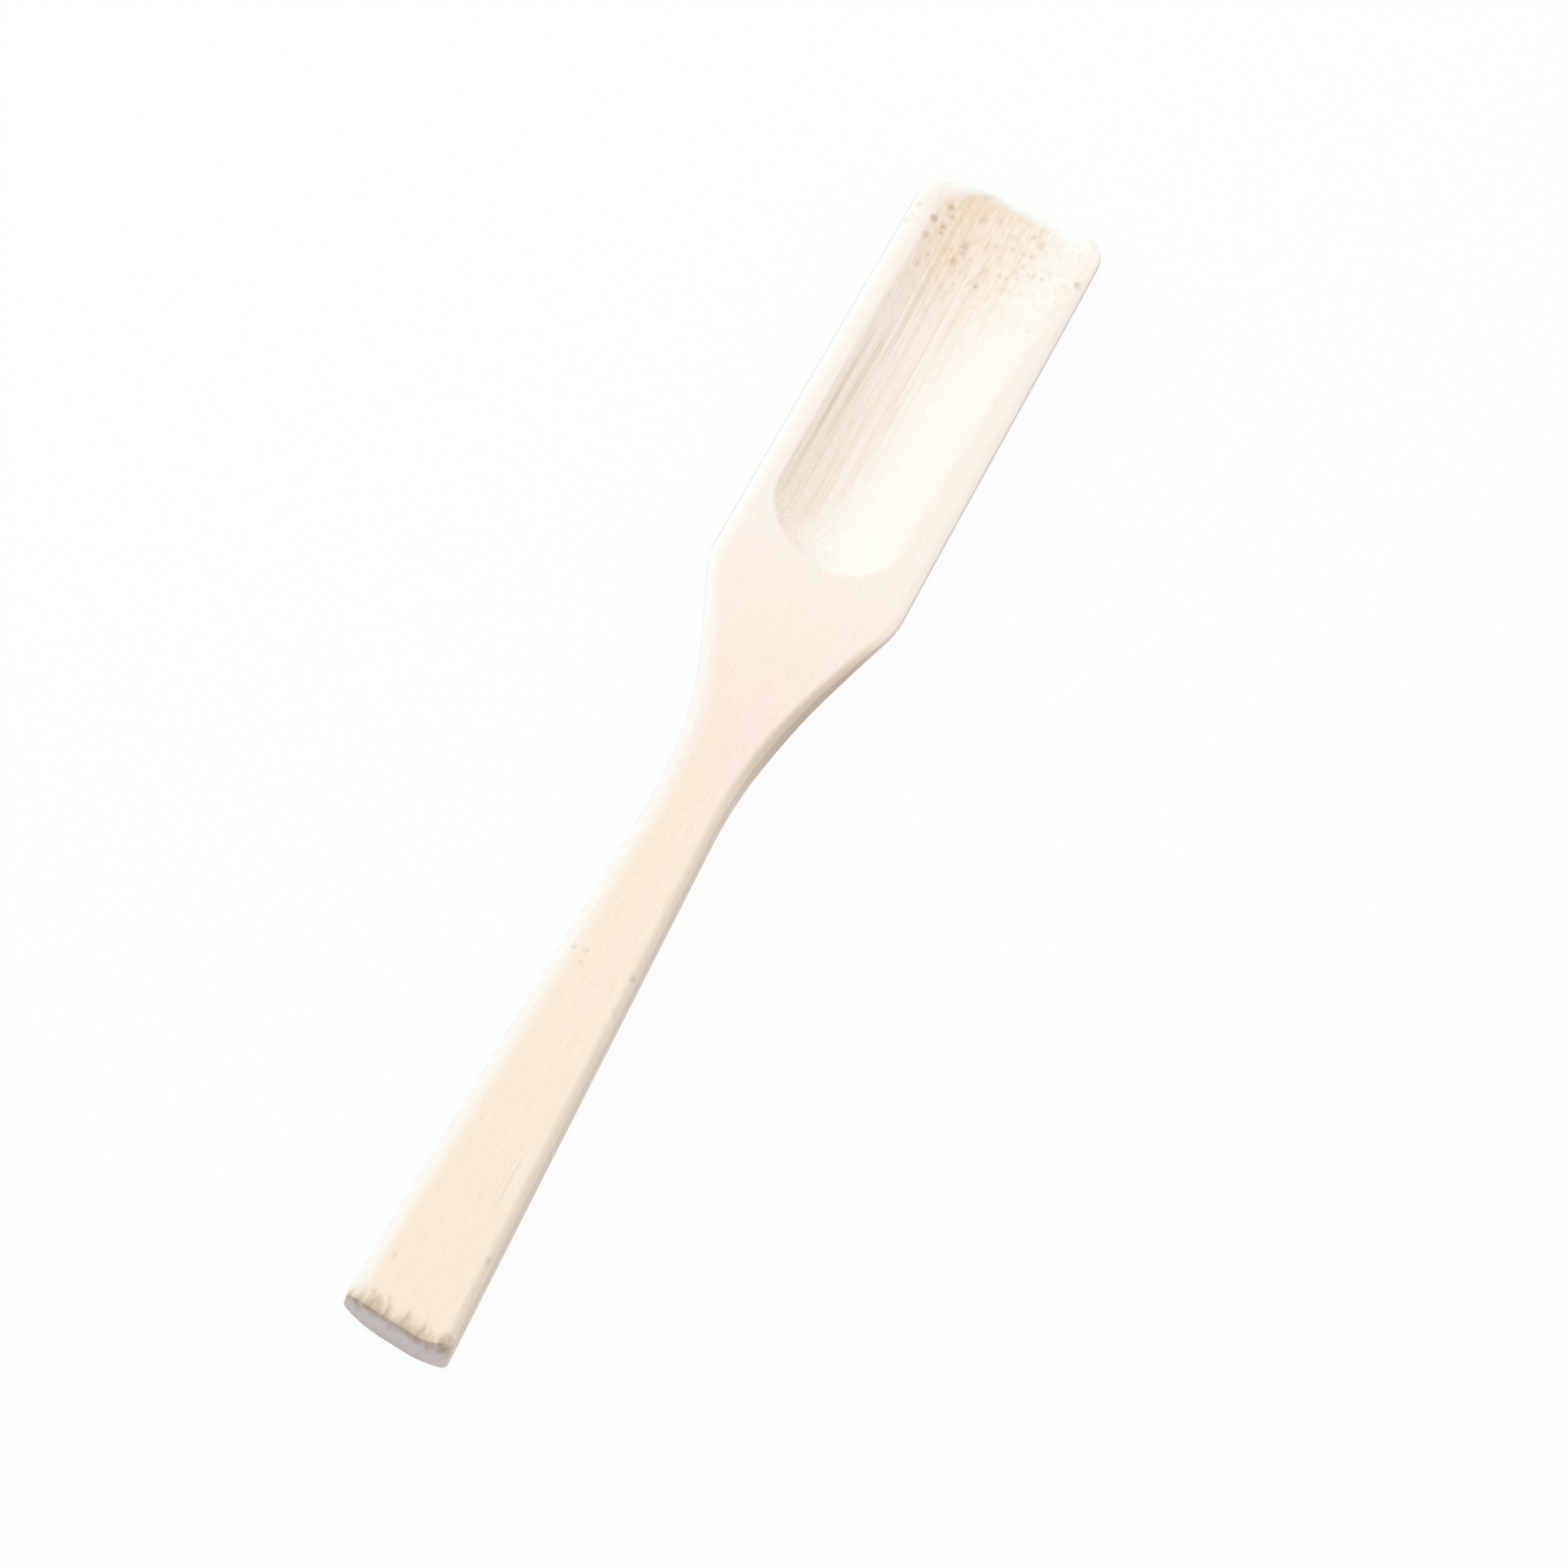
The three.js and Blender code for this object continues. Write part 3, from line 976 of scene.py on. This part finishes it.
def flat_colour(wood):
    """Colour of the planed flat: cream with a pink tone and fine fibres, paler on the head"""
    tone = wood.noise(wood.place, *TONE_NOISE)
    fibres = wood.step(wood.fibre, *FIBRE_LEVELS)
    head = wood.step(wood.station, NECK_STATION, REAR_STATION)
    pink = wood.product(wood.step(tone, *PINK_LEVELS), wood.step(wood.station, *PINK_STATIONS))
    colour = wood.cover(linear(CREAM), PINK_CREAM, pink)
    colour = wood.cover(colour, FIBRE, fibres, FIBRE_SHARE)
    colour = wood.cover(colour, FIBRE, wood.step(wood.mottle, *FIBRE_LEVELS), FIBRE_SHARE)
    colour = wood.cover(colour, HEAD_CREAM, head, HEAD_SHARE)
    return wood.cover(colour, FIBRE, fibres, head, HEAD_FIBRE_SHARE)


def with_trough(wood, colour):
    """The colour with that of the trough: paler fresh cut and painted light on its right, tan on its shaded
    left, honey at its front
    """
    shaded = wood.mark("shaded")
    front = wood.mark("speckled")
    # painted light: the right of the trough and of its rear are painted paler, partly as fresh cut
    colour = wood.cover(colour, FRESH_CUT_AND_PAINTED_LIGHT, wood.mark("lit"), LIT_SHARE)
    colour = wood.cover(colour, FRESH_CUT_AND_PAINTED_LIGHT, wood.mark("rear"), REAR_SHARE)
    tan = wood.mark("tan")
    tan = wood.math("ADD", tan, wood.product(tan, front))
    colour = wood.cover(colour, TAN, tan, wood.step(wood.mottle, *TAN_LEVELS), TAN_SHARE)
    honey = wood.step(wood.noise(wood.place, *HONEY_NOISE), *HONEY_LEVELS)
    colour = wood.cover(colour, HONEY, honey, front, wood.math("ADD", shaded, LEAST_HONEY), HONEY_SHARE)
    grain = wood.step(wood.noise(wood.place, *GRAIN_NOISE), *GRAIN_LEVELS)
    colour = wood.cover(colour, GROOVE, grain, shaded, SHADED_GRAIN_SHARE)
    return wood.cover(colour, FIBRE, grain, wood.mark("hollow"), GRAIN_SHARE)


def with_tool_marks(wood, colour):
    """The colour with streaks of the gouge, dots of the culm's joint and torn fibres"""
    streak = wood.mark("streak")
    ridge = wood.product(streak, -1.0)
    colour = wood.cover(colour, STREAK, wood.math("MAXIMUM", streak, 0.0))
    colour = wood.cover(colour, RIDGE, wood.math("MAXIMUM", ridge, 0.0))
    colour = wood.cover(colour, SPOT, speckles(wood), SPECKLE_SHARE)
    return wood.cover(colour, GROOVE, wood.mark("torn"), TORN_SHARE)


def with_edges(wood, colour):
    """The colour with a painted highlight on the left edge and the lip, the right side darker for cut grain
    and painted shade, painted shade on the right bevel, the dark spots and the skin underneath
    """
    # painted highlight on the left edge and the front lip
    colour = wood.cover(colour, EDGE_HIGHLIGHT, wood.mark("edge_highlight"))
    # the right side where the neck flares: cut grain and painted shade
    colour = wood.cover(colour, SIDE_CUT_AND_SHADE, wood.mark("side"))
    colour = wood.cover(colour, BEVEL_GREY, wood.mark("bevel"))
    colour = wood.cover(colour, SPOT, spots(wood), SPOT_SHARE)
    skin = wood.math("ADD", wood.step(wood.fibre, *SKIN_LEVELS), LEAST_SKIN)
    return wood.cover(colour, SKIN, wood.mark("under"), skin)


def with_end(wood, colour):
    """The colour with that of the handle's end: end grain, and a dark edge and corner"""
    backward = wood.product(wood.facing["Y"], -1.0)
    at_end = wood.product(wood.step(backward, *END_FACING), wood.step(wood.station, *END_STATIONS))
    colour = wood.blend(at_end, colour, end_grain(wood))
    charred = wood.math("MAXIMUM", fray(wood), charred_corner(wood))
    return wood.cover(colour, CHARRED, charred, CHARRED_SHARE)


def relief(wood):
    """Fine lengthwise fibres that the light catches"""
    hairs = wood.product(wood.noise(wood.place, *HAIR_NOISE), HAIR_HEIGHT)
    height = wood.math("ADD", wood.fibre, hairs)
    inputs = {"Height": height, "Strength": RELIEF_STRENGTH, "Distance": RELIEF_HEIGHT * MM}
    return wood.add("ShaderNodeBump", inputs).outputs[0]


def bamboo():
    material = bpy.data.materials.new("bamboo")
    material.use_nodes = True
    wood = Wood(material.node_tree)
    colour = flat_colour(wood)
    for layer in (with_trough, with_tool_marks, with_edges, with_end):
        colour = layer(wood, colour)
    smoothest, roughest = ROUGHNESS
    inputs = {"Value": wood.fibre, "To Min": smoothest, "To Max": roughest}
    roughness = wood.add("ShaderNodeMapRange", inputs).outputs[0]
    shader = wood.add("ShaderNodeBsdfPrincipled", {
        "Base Color": colour,
        "Roughness": roughness,
        "Normal": relief(wood),
        "Specular IOR Level": SPECULAR,
    })
    wood.add("ShaderNodeOutputMaterial", {"Surface": shader.outputs[0]})
    return material


def seen_directly(graph):
    """1 for what the camera sees, straight or in a reflection, and 0 for light that bounces"""
    rays = graph.add("ShaderNodeLightPath", {}).outputs
    mirrored = graph.math("MAXIMUM", rays["Is Glossy Ray"], rays["Is Transmission Ray"])
    return graph.math("MAXIMUM", rays["Is Camera Ray"], mirrored)


def floor_material():
    material = bpy.data.materials.new("floor")
    material.use_nodes = True
    graph = Graph(material.node_tree)
    seen = seen_directly(graph)
    colour = graph.cover(linear(FLOOR_COLOUR), WHITE, seen)
    matte = graph.add("ShaderNodeBsdfDiffuse", {"Color": colour}).outputs[0]
    glow = graph.add("ShaderNodeEmission", {"Strength": 1.0}).outputs[0]
    share = graph.product(seen, FLOOR_GLOW)
    surface = graph.add("ShaderNodeMixShader", {0: share, 1: matte, 2: glow}).outputs[0]
    graph.add("ShaderNodeOutputMaterial", {"Surface": surface})
    return material


def make_floor():
    half = FLOOR_SIZE / 2
    corners = [(-half, -half, 0.0), (half, -half, 0.0), (half, half, 0.0), (-half, half, 0.0)]
    mesh = bpy.data.meshes.new("floor")
    mesh.from_pydata(corners, [], [(0, 1, 2, 3)])
    mesh.materials.append(floor_material())
    floor = bpy.data.objects.new("floor", mesh)
    floor.location.z = -FLOOR_GAP * MM
    bpy.context.collection.objects.link(floor)


def make_world():
    world = bpy.data.worlds.new("studio")
    bpy.context.scene.world = world
    world.use_nodes = True
    graph = Graph(world.node_tree)
    seen = seen_directly(graph)
    strength = graph.add("ShaderNodeMapRange", {"Value": seen, "To Min": SKY_LEVEL}).outputs[0]
    background = graph.add("ShaderNodeBackground", {"Color": linear(WHITE), "Strength": strength})
    graph.add("ShaderNodeOutputWorld", {"Surface": background.outputs[0]})


def make_key_light():
    lamp = bpy.data.lights.new("key", "AREA")
    lamp.energy = KEY_POWER
    lamp.size = KEY_SIZE
    light = bpy.data.objects.new("key", lamp)
    light.location = KEY_PLACE
    light.rotation_euler = Vector(KEY_PLACE).to_track_quat("Z", "Y").to_euler()
    bpy.context.collection.objects.link(light)


def make_camera():
    azimuth, elevation, roll = (math.radians(a) for a in (CAMERA_AZIMUTH, CAMERA_ELEVATION, CAMERA_ROLL))
    level = math.cos(elevation)
    back = Vector((math.sin(azimuth) * level, -math.cos(azimuth) * level, math.sin(elevation)))
    right = Vector((math.cos(azimuth), math.sin(azimuth), 0.0))
    up = back.cross(right)
    rolled_right = right * math.cos(roll) + up * math.sin(roll)
    rolled_up = up * math.cos(roll) - right * math.sin(roll)
    turn = Matrix((rolled_right, rolled_up, back)).transposed()
    eye = (Vector(CAMERA_AIM) + back * CAMERA_DISTANCE) * MM
    lens = bpy.data.cameras.new("camera")
    lens.lens = CAMERA_LENS
    lens.clip_start = CAMERA_NEAREST * MM
    camera = bpy.data.objects.new("camera", lens)
    camera.matrix_world = Matrix.LocRotScale(eye, turn.to_quaternion(), None)
    bpy.context.collection.objects.link(camera)
    bpy.context.scene.camera = camera


scoop = bpy.data.objects.new("carved_scoop", scoop_mesh())
scoop.data.materials.append(bamboo())
bpy.context.collection.objects.link(scoop)
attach(scoop, "root")
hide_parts("scoop_body")

make_floor()
make_world()
make_key_light()
make_camera()
bpy.context.scene.view_settings.view_transform = "Standard"
